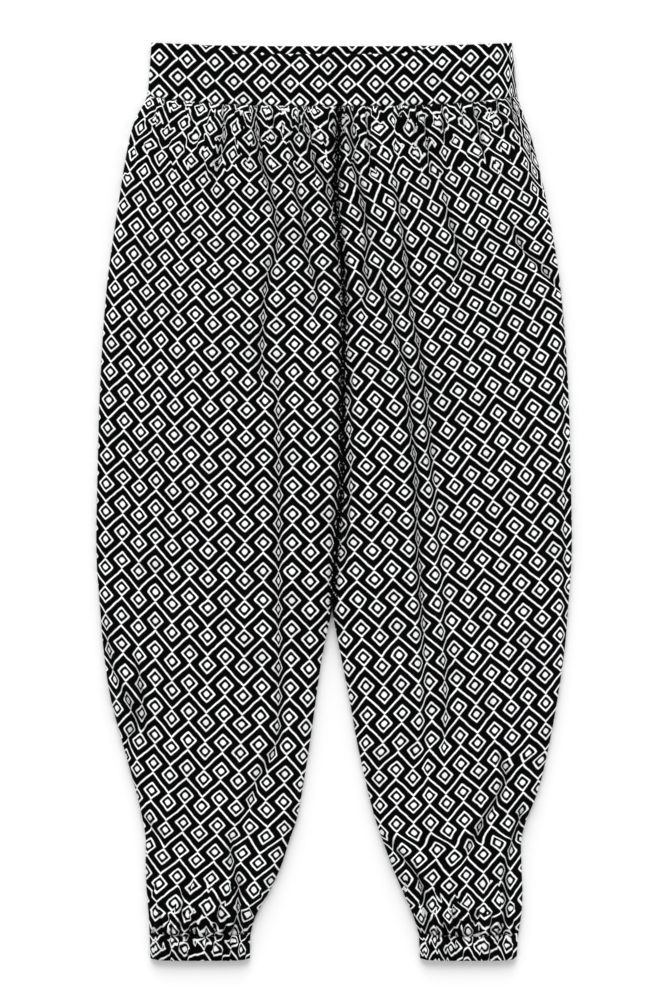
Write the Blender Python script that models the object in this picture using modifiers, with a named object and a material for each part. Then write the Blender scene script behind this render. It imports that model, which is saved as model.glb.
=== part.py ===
"""Harem pants in printed jersey, laid flat on a table with the front up.

+X is the wearer's left, +Y runs from the hems up to the waist, and +Z points up out of the table. The
origin lies on the table under the middle of the garment. Lengths down the garment are "drops" from the
top of the waistband, as a pattern maker measures them.

Each cut piece is a wall of cloth of its own: two waistband halves, four leg panels, and the front and
back of each cuff casing. Front and back meet half way up the folded side edges and inseams.
"""

import math
from collections import namedtuple

import bmesh
import bpy

MM = 0.001

# Driving sizes, in metres.
LENGTH = 0.950            # top of the waistband to the hem
WAIST_HALF = 0.190        # half the width of the flat waist
JERSEY = 0.0012           # wall of one layer of jersey
BAND_WALL = 0.0020        # wall of the waistband, two layers of jersey
SEAM_GAP = 0.0003         # sewn pieces stop this far apart
FOLD_HALF = 0.0030        # half the height of a folded edge
FOLD_REACH = 0.0050       # how far in from a folded edge the cloth lies down
FRONT_REST = 0.0050       # height of the front's face where it lies quietly on the back
FRONT_LOWEST = 0.0032     # the front's face in its deepest troughs, just clear of the back

# Drops and sags of the seams, in metres.
SIDE_SEAM_TOP = 0.056     # waist seam at the sides
WAIST_SAG = 0.0100        # how much lower the waist seam is in the middle
WAIST_FADE = 0.170        # the sag has died out this far below the waist seam
TOP_SAG = 0.0035          # how much lower the top edge is in the middle
FRONT_DIP = 0.0085        # the front's top edge lies below the back's by this
FRONT_DIP_FROM = -0.142   # and does so between these two places across the front
FRONT_DIP_TO = 0.112
FRONT_DIP_RAMP = 0.042
CROTCH_DROP = 0.588
CROTCH_TURN = 0.140       # the inseam edge has folded over this far below the crotch
CUFF_DROP = 0.925         # cuff seam, in the middle of the cuff
CUFF_LIFT = 0.004         # the cuff seam is this much higher at the cuff's sides
CUFF_FADE = 0.075         # the lift starts this far above the cuff seam
HEM_CORNER = 0.0025       # the hem's corners are rounded off by this

# The outline: a row for each section across the pants, in millimetres from the middle.
Side = namedtuple("Side", "drop right left")
SIDES = (
    Side(0, -189, 184), Side(28, -191, 187), Side(56, -194, 190), Side(80, -206, 198),
    Side(105, -213, 206), Side(165, -223, 220), Side(250, -235, 234), Side(350, -242, 242),
    Side(450, -245, 245), Side(530, -246, 246), Side(588, -242, 242), Side(625, -239, 239),
    Side(675, -232, 232), Side(725, -219, 223), Side(775, -205, 211), Side(805, -198, 199),
    Side(825, -195, 194), Side(850, -195, 194), Side(880, -194, 195), Side(905, -192, 194),
    Side(925, -191, 191), Side(950, -190, 189),
)
Centre = namedtuple("Centre", "drop seam")
CENTRE_SEAM = (
    Centre(56, 6), Centre(105, 4), Centre(165, 2), Centre(250, 10), Centre(350, 9),
    Centre(450, 8), Centre(530, 2), Centre(588, -2),
)
Inseam = namedtuple("Inseam", "drop right left")
INSEAMS = (
    Inseam(588, -2, -2), Inseam(610, -7, 2), Inseam(640, -13, 8), Inseam(675, -18, 15),
    Inseam(725, -25, 24), Inseam(775, -33, 35), Inseam(805, -39, 43), Inseam(825, -46, 50),
    Inseam(850, -54, 59), Inseam(880, -67, 71), Inseam(905, -80, 81), Inseam(925, -86, 87),
    Inseam(950, -87, 89),
)

# How much the front stands above its rest, in millimetres, by drop.
Puff = namedtuple("Puff", "drop rise")
PUFFS = (
    Puff(56, 0.3), Puff(76, 5.0), Puff(130, 5.4), Puff(230, 3.8), Puff(400, 2.6),
    Puff(588, 2.4), Puff(750, 3.0), Puff(860, 4.2), Puff(905, 3.8), Puff(925, 0.8),
)

# Rows of the leg panels, as drops in millimetres. The rows are closest where the outline turns.
LEG_ROWS = (
    56, 63, 74, 90, 112, 140, 174, 212, 254, 300, 346, 392, 438, 484, 526, 562, 588,
    598, 618, 650, 686, 722, 756, 788, 816, 842, 868, 893, 912, 925,
)
ROUND_WAIST = (0, 18, 38, 56)
ROUND_CUFF = (925, 937, 950)

# Columns between the two edges: the front's follow its folds, the back lies flat.
FRONT_COLUMNS = 15
BACK_COLUMNS = 6
BAND_COLUMNS = 14
CUFF_COLUMNS = 8

# The cloth at a folded edge, from its seam inwards: parts of FOLD_REACH in and of FOLD_HALF up.
EdgeStep = namedtuple("EdgeStep", "reach rise")
FOLDED = (EdgeStep(0, 0), EdgeStep(0, 0.4), EdgeStep(0.3, 0.8), EdgeStep(1, 1))
FLAT_REACHES = (0, 0.35, 0.7, 1)

# The largest folds of the front: width and depth in millimetres, and the trough's way down the leg.
Fold = namedtuple("Fold", "name width depth route")
FOLDS = (
    Fold("centre seam", 30, 3.4, ((6, 404), (1, 303), (10, 223), (8, 120), (8, 40), (2, -30), (-2, -108))),
    Fold("beside the centre", 20, 3.4, ((19, 396), (19, 353), (27, 320), (33, 258), (31, 205))),
    Fold("right thigh, upper", 26, 3.0, ((-63, 310), (-60, 273), (-70, 223), (-75, 178), (-75, 114))),
    Fold("right thigh, lower", 26, 2.8, ((-59, 112), (-58, -100), (-57, -240), (-69, -270), (-84, -305))),
    Fold("left thigh, long", 28, 3.2, ((70, 300), (81, 220), (78, 105), (84, 38), (90, -110), (96, -310))),
    Fold("left thigh, outer", 24, 2.6, ((95, 110), (100, 38), (112, -97), (116, -174), (113, -250))),
    Fold("left hip", 22, 2.8, ((112, 300), (128, 262), (127, 225))),
    Fold("left side", 20, 2.2, ((186, 272), (208, 244), (228, 218))),
    Fold("right knee", 22, 2.4, ((-222, -186), (-206, -226), (-208, -262))),
    Fold("left calf", 22, 3.0, ((176, -276), (171, -304), (154, -332), (134, -372))),
    Fold("right calf", 22, 3.0, ((-112, -340), (-104, -378), (-96, -420))),
    Fold("left cuff, outer", 18, 3.2, ((183, -330), (181, -360), (177, -400), (174, -444))),
    Fold("left cuff, inner", 20, 2.8, ((66, -352), (82, -380), (98, -412))),
)

# Gathers under the waistband, each a short trough: place along the waist, length and lean, in mm.
Gather = namedtuple("Gather", "x length lean")
GATHER_WIDTH = 22
GATHER_DEPTH = 4.0
GATHERS = (
    Gather(-166, 40, -8), Gather(-139, 66, -8), Gather(-112, 96, -10), Gather(-84, 52, -4),
    Gather(-58, 84, 4), Gather(-32, 108, 12), Gather(48, 78, 6), Gather(72, 112, 8),
    Gather(98, 58, 6), Gather(124, 88, 10), Gather(150, 46, 8), Gather(172, 34, 8),
)

Finish = namedtuple("Finish", "colour roughness")
PRINTED_JERSEY = Finish((0.045, 0.045, 0.05, 1), 0.85)


def mix(start, end, share):
    """The value a share of the way from start to end."""
    return start + (end - start) * share


def ease(share):
    """A smooth step from 0 to 1."""
    share = min(max(share, 0.0), 1.0)
    return share * share * (3 - 2 * share)


def read(table, column, drop):
    """Read one column of a table in metres, on a smooth curve through its rows."""
    stations = [row.drop * MM for row in table]
    values = [getattr(row, column) * MM for row in table]
    last = len(stations) - 1
    drop = min(max(drop, stations[0]), stations[last])
    index = max(i for i in range(last) if stations[i] <= drop)

    def slope(i):
        before, after = max(i - 1, 0), min(i + 1, last)
        return (values[after] - values[before]) / (stations[after] - stations[before])

    span = stations[index + 1] - stations[index]
    t = (drop - stations[index]) / span
    bend_in = (2 * t ** 3 - 3 * t ** 2 + 1) * values[index] + (t ** 3 - 2 * t ** 2 + t) * span * slope(index)
    bend_out = (3 * t ** 2 - 2 * t ** 3) * values[index + 1] + (t ** 3 - t ** 2) * span * slope(index + 1)
    return bend_in + bend_out


def inner_edge(leg, drop):
    """A leg's inner edge: the centre seam down to the crotch, and its own inseam below."""
    if drop <= CROTCH_DROP:
        return read(CENTRE_SEAM, "seam", drop)
    return read(INSEAMS, leg, drop)


def inseam_fold(drop):
    """How far the inner edge is folded over: not at all along the centre seam, and soon fully below it."""
    return 1 - (1 - min(max((drop - CROTCH_DROP) / CROTCH_TURN, 0.0), 1.0)) ** 3


def waist_curve(x):
    """1 in the middle of the waist, falling to 0 at its sides."""
    return 1 - min(abs(x) / WAIST_HALF, 1) ** 3


def to_y(drop):
    return LENGTH / 2 - drop


def leg_y(x, drop, across):
    """Height on the table of a leg's row: it sags at the waist seam and lifts at the cuff's sides."""
    sag = WAIST_SAG * waist_curve(x) * (1 - ease((drop - SIDE_SEAM_TOP) / WAIST_FADE))
    lift = CUFF_LIFT * abs(2 * across - 1) ** 2 * ease((drop - CUFF_DROP + CUFF_FADE) / CUFF_FADE)
    return to_y(drop + sag - lift)


def band_y(x, share, top_dip):
    """A waistband row, a share of the way from the top edge to the waist seam."""
    top = TOP_SAG * waist_curve(x) + top_dip
    seam = SIDE_SEAM_TOP + WAIST_SAG * waist_curve(x)
    return to_y(mix(top, seam, share))


def front_dip(x):
    """How far the front's top edge lies below the back's."""
    way_in = ease((x - FRONT_DIP_FROM) / FRONT_DIP_RAMP)
    way_out = ease((FRONT_DIP_TO - x) / FRONT_DIP_RAMP)
    return FRONT_DIP * way_in * way_out


def cuff_y(share, across):
    """A cuff row, from the cuff seam at 0 to the hem at 1."""
    edge = abs(2 * across - 1)
    seam = CUFF_DROP - CUFF_LIFT * edge ** 2
    hem = LENGTH - HEM_CORNER * edge ** 6
    return to_y(mix(seam, hem, share))


def trough(x, y, width, depth, route):
    """Depth at a point of a soft trough that fades out at both ends of its route."""
    lengths = [math.dist(a, b) for a, b in zip(route, route[1:])]
    whole = sum(lengths)
    deepest = 0.0
    passed = 0.0
    for (start, end), length in zip(zip(route, route[1:]), lengths):
        along = ((x - start[0]) * (end[0] - start[0]) + (y - start[1]) * (end[1] - start[1])) / length ** 2
        along = min(max(along, 0.0), 1.0)
        away = math.hypot(x - mix(start[0], end[0], along), y - mix(start[1], end[1], along))
        share = (passed + along * length) / whole
        fade = math.sin(math.pi * min(max(share, 0.02), 0.98)) ** 0.5
        deepest = max(deepest, depth * fade * (1 - ease(2 * away / width)))
        passed += length
    return deepest


def gather_route(gather):
    top = to_y(SIDE_SEAM_TOP + WAIST_SAG * waist_curve(gather.x * MM)) / MM + 10
    return (gather.x, top), (gather.x + gather.lean, top - gather.length - 10)


TROUGHS = [(fold.width, fold.depth, fold.route) for fold in FOLDS]
TROUGHS += [(GATHER_WIDTH, GATHER_DEPTH, gather_route(gather)) for gather in GATHERS]


def front_face(x, y, drop):
    """Height of the front's face over the table, with its puffs and largest folds."""
    depth = max(trough(x / MM, y / MM, *sizes) for sizes in TROUGHS) * MM
    return max(FRONT_REST + read(PUFFS, "rise", drop) - depth, FRONT_LOWEST)


def cross_row(low, high, low_fold, high_fold, columns, place, face, is_front):
    """Points of one row from its low x to its high x.

    low_fold and high_fold say how far each edge is folded over, from 0, flat, to 1. place gives y, and
    face gives the height of the cloth away from the folded edges.
    """
    half_gap = SEAM_GAP / 2
    low += half_gap * (1 - low_fold)
    high -= half_gap * (1 - high_fold)
    steps = []
    for fold, edge, inwards in ((low_fold, low, 1), (high_fold, high, -1)):
        side = []
        for step, flat in zip(FOLDED, FLAT_REACHES):
            x = edge + inwards * FOLD_REACH * mix(flat, step.reach, fold)
            rise = half_gap + step.rise * (FOLD_HALF - half_gap)
            side.append((x, FOLD_HALF + rise if is_front else FOLD_HALF - rise, fold))
        steps.append(side)
    inner_low, inner_high = steps[0][-1][0], steps[1][-1][0]
    middle = [(mix(inner_low, inner_high, i / columns), 0.0, 0.0) for i in range(1, columns)]
    points = []
    for x, fold_z, fold in steps[0] + middle + steps[1][::-1]:
        y = place(x, (x - low) / (high - low))
        points.append((x, y, mix(face(x, y), fold_z, fold)))
    return points


def make_piece(collection, name, rows, wall, is_front):
    """A piece of cloth: an open sheet through the rows, outer face only, given its wall inwards."""
    sheet = bmesh.new()
    grid = [[sheet.verts.new(point) for point in row] for row in rows]
    for above, below in zip(grid, grid[1:]):
        for i in range(len(above) - 1):
            corners = [above[i], below[i], below[i + 1], above[i + 1]]
            sheet.faces.new(corners if is_front else corners[::-1])
    mesh = bpy.data.meshes.new(name)
    sheet.to_mesh(mesh)
    sheet.free()
    mesh.shade_smooth()

    piece = bpy.data.objects.new(name, mesh)
    collection.objects.link(piece)
    solidify = piece.modifiers.new("wall", "SOLIDIFY")
    solidify.thickness = wall
    solidify.offset = -1
    solidify.use_even_offset = True
    piece.data.materials.append(make_material(name, PRINTED_JERSEY))
    return piece


def make_material(name, finish):
    material = bpy.data.materials.new(name)
    material.use_nodes = True
    shader = material.node_tree.nodes["Principled BSDF"]
    shader.inputs["Base Color"].default_value = finish.colour
    shader.inputs["Roughness"].default_value = finish.roughness
    shader.inputs["Metallic"].default_value = 0.0
    return material


def seam_rows(drops, first_gap, last_gap):
    """Rows in metres, with the first and last moved in by their half of the seam's gap."""
    rows = [drop * MM for drop in drops]
    rows[0] += first_gap
    rows[-1] -= last_gap
    return rows


def make_leg_panel(collection, leg, is_front):
    """A front or back leg panel, from the waist seam to the cuff seam."""
    rows = []
    for drop in seam_rows(LEG_ROWS, SEAM_GAP / 2, SEAM_GAP / 2):
        side = read(SIDES, leg, drop)
        inner = inner_edge(leg, drop)
        inner_fold = inseam_fold(drop)
        low, high, low_fold, high_fold = (side, inner, 1, inner_fold)
        if leg == "left":
            low, high, low_fold, high_fold = (inner, side, inner_fold, 1)
        rows.append(cross_row(
            low, high, low_fold, high_fold,
            columns=FRONT_COLUMNS if is_front else BACK_COLUMNS,
            place=lambda x, across: leg_y(x, drop, across),
            face=(lambda x, y: front_face(x, y, drop)) if is_front else (lambda x, y: 0.0),
            is_front=is_front,
        ))
    name = "{}_leg_{}".format("front" if is_front else "back", leg)
    return make_piece(collection, name, rows, JERSEY, is_front)


def make_waistband(collection, is_front):
    """Half of the waistband, from the top edge to the waist seam."""
    first, last = ROUND_WAIST[0] * MM, ROUND_WAIST[-1] * MM
    rows = []
    for drop in seam_rows(ROUND_WAIST, 0, SEAM_GAP / 2):
        share = (drop - first) / (last - first)
        rows.append(cross_row(
            read(SIDES, "right", drop), read(SIDES, "left", drop), 1, 1,
            columns=BAND_COLUMNS,
            place=lambda x, across: band_y(x, share, front_dip(x) if is_front else 0.0),
            face=lambda x, y: FRONT_REST + 0.3 * MM if is_front else 0.0,
            is_front=is_front,
        ))
    name = "waistband_front" if is_front else "waistband_back"
    return make_piece(collection, name, rows, BAND_WALL, is_front)


def make_cuff(collection, leg, is_front):
    """The front or back of a cuff casing, from the cuff seam to the hem."""
    first, last = ROUND_CUFF[0] * MM, ROUND_CUFF[-1] * MM
    rows = []
    for drop in seam_rows(ROUND_CUFF, SEAM_GAP / 2, 0):
        share = (drop - first) / (last - first)
        side = read(SIDES, leg, drop)
        inner = inner_edge(leg, drop)
        rows.append(cross_row(
            min(side, inner), max(side, inner), 1, 1,
            columns=CUFF_COLUMNS,
            place=lambda x, across: cuff_y(share, across),
            face=lambda x, y: FRONT_REST + 1.0 * MM if is_front else 0.0,
            is_front=is_front,
        ))
    name = "cuff_{}_{}".format("front" if is_front else "back", leg)
    return make_piece(collection, name, rows, JERSEY, is_front)


def main():
    for thing in list(bpy.data.objects):
        bpy.data.objects.remove(thing, do_unlink=True)
    pants = bpy.data.collections.new("harem_pants")
    bpy.context.scene.collection.children.link(pants)
    for is_front in (True, False):
        make_waistband(pants, is_front)
        for leg in ("right", "left"):
            make_leg_panel(pants, leg, is_front)
            make_cuff(pants, leg, is_front)


main()
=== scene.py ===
"""Harem pants in printed jersey, laid flat with the front up: the cloth, its creases and its print.

Lengths in the tables are millimetres. +X is the wearer's left and +Y runs from the hems up to the waist.
Each cut piece is a thin shell on its own solid of the frame. The print is drawn in the cloth's own
measures, across and down the uncut jersey, so it closes up wherever a crease or a gather takes cloth in.
"""

import math
from collections import namedtuple

import bpy
import numpy as np
from bpy.props import FloatProperty, FloatVectorProperty, IntProperty, PointerProperty
from bpy.types import Operator, Panel, PropertyGroup
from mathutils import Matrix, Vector, noise


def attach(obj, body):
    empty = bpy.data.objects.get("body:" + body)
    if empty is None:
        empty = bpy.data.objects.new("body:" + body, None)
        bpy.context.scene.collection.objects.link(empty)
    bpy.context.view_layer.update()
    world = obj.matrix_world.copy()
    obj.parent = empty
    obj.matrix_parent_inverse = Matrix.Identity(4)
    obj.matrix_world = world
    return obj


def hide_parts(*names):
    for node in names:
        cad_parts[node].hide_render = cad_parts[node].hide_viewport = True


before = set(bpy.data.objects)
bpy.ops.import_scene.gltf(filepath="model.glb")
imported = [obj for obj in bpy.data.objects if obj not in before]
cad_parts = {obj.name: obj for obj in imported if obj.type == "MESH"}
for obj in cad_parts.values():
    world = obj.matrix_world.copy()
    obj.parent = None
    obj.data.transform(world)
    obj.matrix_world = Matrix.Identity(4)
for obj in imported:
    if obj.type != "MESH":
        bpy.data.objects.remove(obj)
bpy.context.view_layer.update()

bl_info = {
    "name": "Harem Pants in Printed Jersey",
    "version": (1, 0, 0),
    "blender": (4, 5, 0),
    "location": "View3D > Sidebar > Harem Pants",
    "description": "Models jersey harem pants laid flat, piece by piece, with their print",
    "category": "Add Mesh",
}

MM = 0.001
BODY = "root"
LEGS = ("right", "left")

# The garment's own sizes in metres, the same as those of its solids.
LENGTH = 0.950
WAIST_HALF = 0.190
SEAM_GAP = 0.0003
FOLD_HALF = 0.0030
FRONT_REST = 0.0050
SIDE_SEAM_TOP = 0.056
WAIST_DROP = 0.062
WAIST_SAG = 0.0100
WAIST_FADE = 0.170
TOP_SAG = 0.0035
FRONT_DIP = 0.0085
FRONT_DIP_FROM = -0.142
FRONT_DIP_TO = 0.112
FRONT_DIP_RAMP = 0.042
CROTCH_DROP = 0.588
CROTCH_TURN = 0.140
CUFF_DROP = 0.925
CUFF_LIFT = 0.004
CUFF_FADE = 0.075
HEM_CORNER = 0.0025

def rows_of(kind, *values):
    """A table of rows of one kind."""
    return tuple(kind(*row) for row in values)


Side = namedtuple("Side", "drop right left")
SIDES = rows_of(
    Side,
    (0, -189, 184), (28, -191, 187), (56, -194, 190), (80, -206, 198),
    (105, -213, 206), (165, -223, 220), (250, -235, 234), (350, -242, 242),
    (450, -245, 245), (530, -246, 246), (588, -242, 242), (625, -239, 239),
    (675, -232, 232), (725, -219, 223), (775, -205, 211), (805, -198, 199),
    (825, -195, 194), (850, -195, 194), (880, -194, 195), (905, -192, 194),
    (925, -191, 191), (950, -190, 189),
)
Centre = namedtuple("Centre", "drop seam")
CENTRE_SEAM = rows_of(
    Centre,
    (56, 6), (105, 4), (165, 2), (250, 10), (350, 9), (450, 8), (530, 2), (588, -2),
)
Inseam = namedtuple("Inseam", "drop right left")
INSEAMS = rows_of(
    Inseam,
    (588, -2, -2), (610, -7, 2), (640, -13, 8), (675, -18, 15),
    (725, -25, 24), (775, -33, 35), (805, -39, 43), (825, -46, 50),
    (850, -54, 59), (880, -67, 71), (905, -80, 81), (925, -86, 87), (950, -87, 89),
)

# How far the cloth stands above its rest, by drop. The front billows most under the gathers.
Puff = namedtuple("Puff", "drop front")
PUFFS = rows_of(
    Puff,
    (56, 1.2), (61, 6.0), (72, 8.6), (130, 8.6), (230, 7.6), (400, 6.8),
    (588, 6.4), (750, 6.6), (860, 7.2), (905, 6.6), (919, 5.0), (925, 1.2),
)

# Where the print lies on each leg. Along a level line, a row of the print falls towards +X by these
# angles in degrees, at these places across.
Tilt = namedtuple("Tilt", "drop angles")
TILT_PLACES = {"right": (-240, -211, -167, -122, -78, -33, 0), "left": (10, 56, 100, 145, 190, 234)}
TILTS = {
    "right": rows_of(
        Tilt,
        (100, (11, 10, 8, 4, 2, 0, 0)), (150, (11, 10, 8.4, 3.3, 1, 0, 0)),
        (255, (9, 7, 5, 3.2, 0.5, -1.5, -2)), (411, (8, 7, 4, 3.2, 0, -1.5, -2)),
        (566, (9, 8, 7.5, 3.2, 0, 2, 2)), (700, (12, 12, 8.6, 3.3, 2.5, 2, 2)),
        (780, (12, 11, 8.5, 3.5, 3, 3, 3)), (925, (4, 4, 3, 2, 2, 2, 2)),
    ),
    "left": rows_of(
        Tilt,
        (100, (0, -2, -4, -5, -5, -6)), (150, (0, -2, -5, -5.5, -6, -8)),
        (255, (0, -3, -8, -11.8, -12.5, -13)), (350, (-2, -4, -7, -8.5, -10, -10)),
        (411, (-2, -4, -7, -9.2, -7.8, -7)), (566, (-2, -3.5, -6, -7.5, -6.8, -6.5)),
        (700, (-2, -3.5, -6, -8.5, -9, -9)), (780, (2, 0, -4, -8.5, -9.5, -9.5)),
        (925, (2, 0, -2, -3, -3, -3)),
    ),
}

# Down each leg's guide line a column of the print leans towards +X by these angles in degrees.
Lean = namedtuple("Lean", "drop angle")
GUIDE_X = {"right": -140, "left": 145}
LEANS = {
    "right": rows_of(
        Lean,
        (60, -12), (100, -11), (152, -6), (204, -3.3), (255, -3), (307, -1.6), (359, -2.3),
        (411, -1.3), (463, -0.7), (515, -0.4), (618, -0.4), (670, -0.9),
        (721, -2.1), (773, -4), (825, -5.5), (877, -9), (925, -6),
    ),
    "left": rows_of(
        Lean,
        (60, 18), (100, 20), (152, 19), (204, 17.7), (255, 17), (307, 12), (359, 11),
        (411, 8.4), (463, 7.8), (515, 7.1), (566, 5.4), (618, 4.1), (670, 3.9),
        (721, 1.8), (773, 3.8), (825, 2), (877, 0), (925, 0),
    ),
}

# How much cloth lies in each length across and down, besides what the creases take in.
Fullness = namedtuple("Fullness", "drop across down")
FULLNESS = {
    "right": rows_of(
        Fullness,
        (56, 1.28, 1.6), (66, 1.26, 1.3), (78, 1.22, 1.05), (100, 1.15, 1.05),
        (150, 1.08, 1.05), (255, 1.01, 1.05), (330, 1.0, 1.0), (411, 0.995, 1.0),
        (566, 0.99, 0.99), (700, 1.0, 0.985), (780, 1.03, 1.03),
        (850, 1.05, 1.06), (905, 1.1, 1.03), (925, 1.15, 1.1), (950, 1.2, 1.12),
    ),
    "left": rows_of(
        Fullness,
        (56, 1.28, 1.6), (66, 1.26, 1.3), (78, 1.24, 1.05), (100, 1.18, 1.04),
        (150, 1.12, 1.04), (255, 1.04, 1.035), (330, 1.02, 1.0), (411, 1.01, 0.99),
        (566, 1.0, 0.98), (700, 1.045, 0.98), (780, 1.07, 1.01),
        (850, 1.06, 1.01), (905, 1.1, 0.98), (925, 1.15, 1.05), (950, 1.2, 1.1),
    ),
}

# One crossing of the print on each leg, from which the rest is counted.
Anchor = namedtuple("Anchor", "x drop")
ANCHORS = {"right": Anchor(-71.3, 381.4), "left": Anchor(139.2, 428.2)}

# The creases of the front: half width, depth and the cloth each takes in, and its way down the leg.
# Each point of the way has its place and the crease's strength there.
Crease = namedtuple("Crease", "name half_width depth tuck way")
CREASES = {
    "right": rows_of(
        Crease,
        ("outer hip", 5, 4, 7, (
            (-113, 396, 1), (-115, 361, .9), (-122, 344, .7), (-125, 315, .35), (-124, 285, 0))),
        ("hip pinch", 4.5, 3.5, 5, ((-84, 405, 1), (-82, 382, .8), (-80, 350, 0))),
        ("thigh, upper", 5.5, 5, 11, (
            (-82, 395, 1), (-80, 375, .9), (-73, 345, .9), (-65, 317, 1), (-61, 290, 1), (-59, 263, .9),
            (-66, 240, .8), (-71, 218, .8), (-74, 178, .8), (-75, 130, .6), (-74, 100, 0))),
        ("thigh, lower", 7, 3.5, 8, (
            (-59, 150, 0), (-59, 105, .8), (-57, 38, .9), (-57, -100, 1), (-57, -247, 1), (-69, -270, .9),
            (-84, -302, .8), (-96, -340, .3), (-104, -364, 0))),
        ("inner thigh", 5, 4.5, 8, (
            (-42, 345, .6), (-38, 312, 1), (-32, 295, 1), (-30, 268, .9), (-24, 241, .8), (-18, 218, .7),
            (-20, 200, .5), (-17, 170, 0))),
        ("beside the seam", 5, 4.5, 7, (
            (-30, 385, 1), (-25, 361, 1), (-13, 336, 1), (-8, 323, 1), (-4, 305, .8), (-3, 285, 0))),
        ("outer knee", 6, 4.5, 7, (
            (-240, -95, 0), (-234, -150, .8), (-228, -175, .8), (-215, -204, 1), (-204, -228, 1),
            (-211, -245, .8), (-210, -261, .4), (-205, -285, 0))),
        ("outer knee, inner", 4.5, 3.5, 5, (
            (-208, -140, 0), (-203, -172, .8), (-201, -190, 1), (-197, -212, .9), (-195, -238, .6),
            (-189, -262, 0))),
        ("outer calf", 5, 3.5, 5, (
            (-200, -318, 0), (-190, -334, 1), (-178, -350, .6), (-168, -362, 0))),
        ("calf", 5.5, 4.5, 8, (
            (-108, -335, 0), (-106, -364, .9), (-100, -400, 1), (-98, -430, 1), (-98, -446, 1))),
        ("at the centre seam", 5, 4, 7, (
            (4, 404, 1), (1, 360, 1), (0, 303, 1), (8, 223, 1), (7, 120, 1), (6, 40, 1), (0, -30, .9),
            (-4, -100, .4), (-6, -118, 0))),
    ),
    "left": rows_of(
        Crease,
        ("beside the seam", 5.5, 5, 10, (
            (19, 405, 1), (19, 353, 1), (27, 321, 1), (34, 269, .9), (32, 243, .9), (33, 221, .8),
            (31, 200, .5), (30, 170, 0))),
        ("at the centre seam", 4, 3, 4, (
            (9, 404, 1), (6, 360, 1), (5, 303, 1), (13, 223, 1), (12, 120, 1), (12, 40, 1), (6, -30, .9),
            (2, -100, .4), (0, -118, 0))),
        ("near the seam, lower", 4, 4, 6, (
            (19, 150, 0), (18, 120, .8), (17, 100, 1), (17, 40, 1), (15, -20, .9), (12, -60, .6),
            (9, -100, 0))),
        ("inner thigh", 5.5, 4.5, 12, (
            (50, 250, 0), (51, 220, .8), (58, 196, .9), (66, 164, .9), (74, 135, 1), (77, 105, 1),
            (80, 70, 1), (84, 38, 1), (86, -38, 1.05), (90, -110, .95), (92, -159, .7), (93, -230, .45),
            (94, -272, .35), (96, -310, .2), (98, -330, 0))),
        ("thigh", 5.5, 4.5, 12, (
            (62, 340, .3), (66, 305, .7), (71, 277, .9), (74, 249, 1), (80, 196, .9), (86, 167, .9),
            (91, 137, 1), (96, 100, 1), (100, 38, .85), (106, -18, .6), (112, -97, .45), (115, -174, .6),
            (116, -215, .65), (113, -248, .5), (112, -280, 0))),
        ("hip", 5, 4, 7, (
            (112, 330, .4), (118, 292, .9), (121, 280, 1), (128, 260, 1), (130, 240, .9), (124, 227, .5),
            (118, 205, 0))),
        ("side", 5, 3.5, 8, (
            (180, 300, 0), (183, 285, .5), (192, 264, .9), (210, 244, 1), (230, 222, .9), (238, 214, .6))),
        ("calf", 5.5, 5, 9, (
            (172, -255, 0), (173, -274, .9), (177, -285, 1), (171, -304, 1), (154, -332, .9),
            (137, -367, .6), (128, -390, 0))),
        ("outer cuff", 5, 4.5, 8, (
            (196, -312, 0), (192, -324, .8), (185, -350, 1), (178, -373, 1), (177, -395, 1),
            (178, -415, 1), (175, -446, 1))),
        ("inner cuff", 5.5, 4.5, 8, (
            (58, -340, 0), (61, -357, .8), (81, -380, 1), (88, -392, 1), (94, -415, .8), (98, -446, .8))),
    ),
}

# Gathers let into the waist seam: place along it, length, how far the lower end lies over, half width,
# depth, and how far the print is out of line across from one side of the gather to the other.
Gather = namedtuple("Gather", "x length over half_width depth tuck")
GATHERS = {
    "right": rows_of(
        Gather,
        (-176, 22, 3, 2.4, 3.0, 4), (-158, 13, -2, 2.0, 2.6, 3), (-140, 15, 4, 2.2, 3.0, 4),
        (-112, 88, -13, 3.0, 3.8, 6), (-99, 24, -4, 2.2, 3.2, 4), (-88, 16, 1, 2.0, 3.0, 4),
        (-80, 86, 8, 2.8, 3.8, 6), (-64, 47, 4, 2.6, 3.6, 5), (-51, 16, -2, 2.0, 3.0, 4),
        (-38, 50, 3, 2.6, 3.6, 6), (-28, 92, 12, 2.8, 4.0, 6), (-5, 26, -2, 2.2, 3.4, 5),
    ),
    "left": rows_of(
        Gather,
        (12, 48, -3, 2.6, 3.8, 6), (33, 86, 6, 2.8, 4.0, 6), (52, 26, -5, 2.2, 3.4, 4),
        (68, 36, -2, 2.4, 3.6, 5), (76, 20, 3, 2.0, 3.0, 3), (86, 66, -4, 2.6, 3.6, 5),
        (92, 94, 9, 3.0, 4.0, 6), (111, 62, 5, 2.6, 3.6, 5), (129, 32, 7, 2.2, 3.2, 4),
        (143, 74, 16, 2.8, 3.8, 6), (156, 22, 4, 2.0, 3.0, 3), (167, 48, 12, 2.6, 3.4, 5),
        (181, 48, 11, 2.6, 3.0, 5),
    ),
}

# Small gathers and pinches stray from their places by up to this share of their spacing.
STRAY = 0.9

# The smallest gathers, side by side all along the waist seam, every so many millimetres. One is longer
# the more it strays, and by its turn in each four.
SMALL_EVERY = 7.0
SMALL_GATHER = Gather(0, 9, 2.5, 1.9, 1.0, 3.2)
SMALL_BY_STRAY = 1.2
SMALL_BY_TURN = 0.9
SMALL_TURNS = 4

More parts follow.
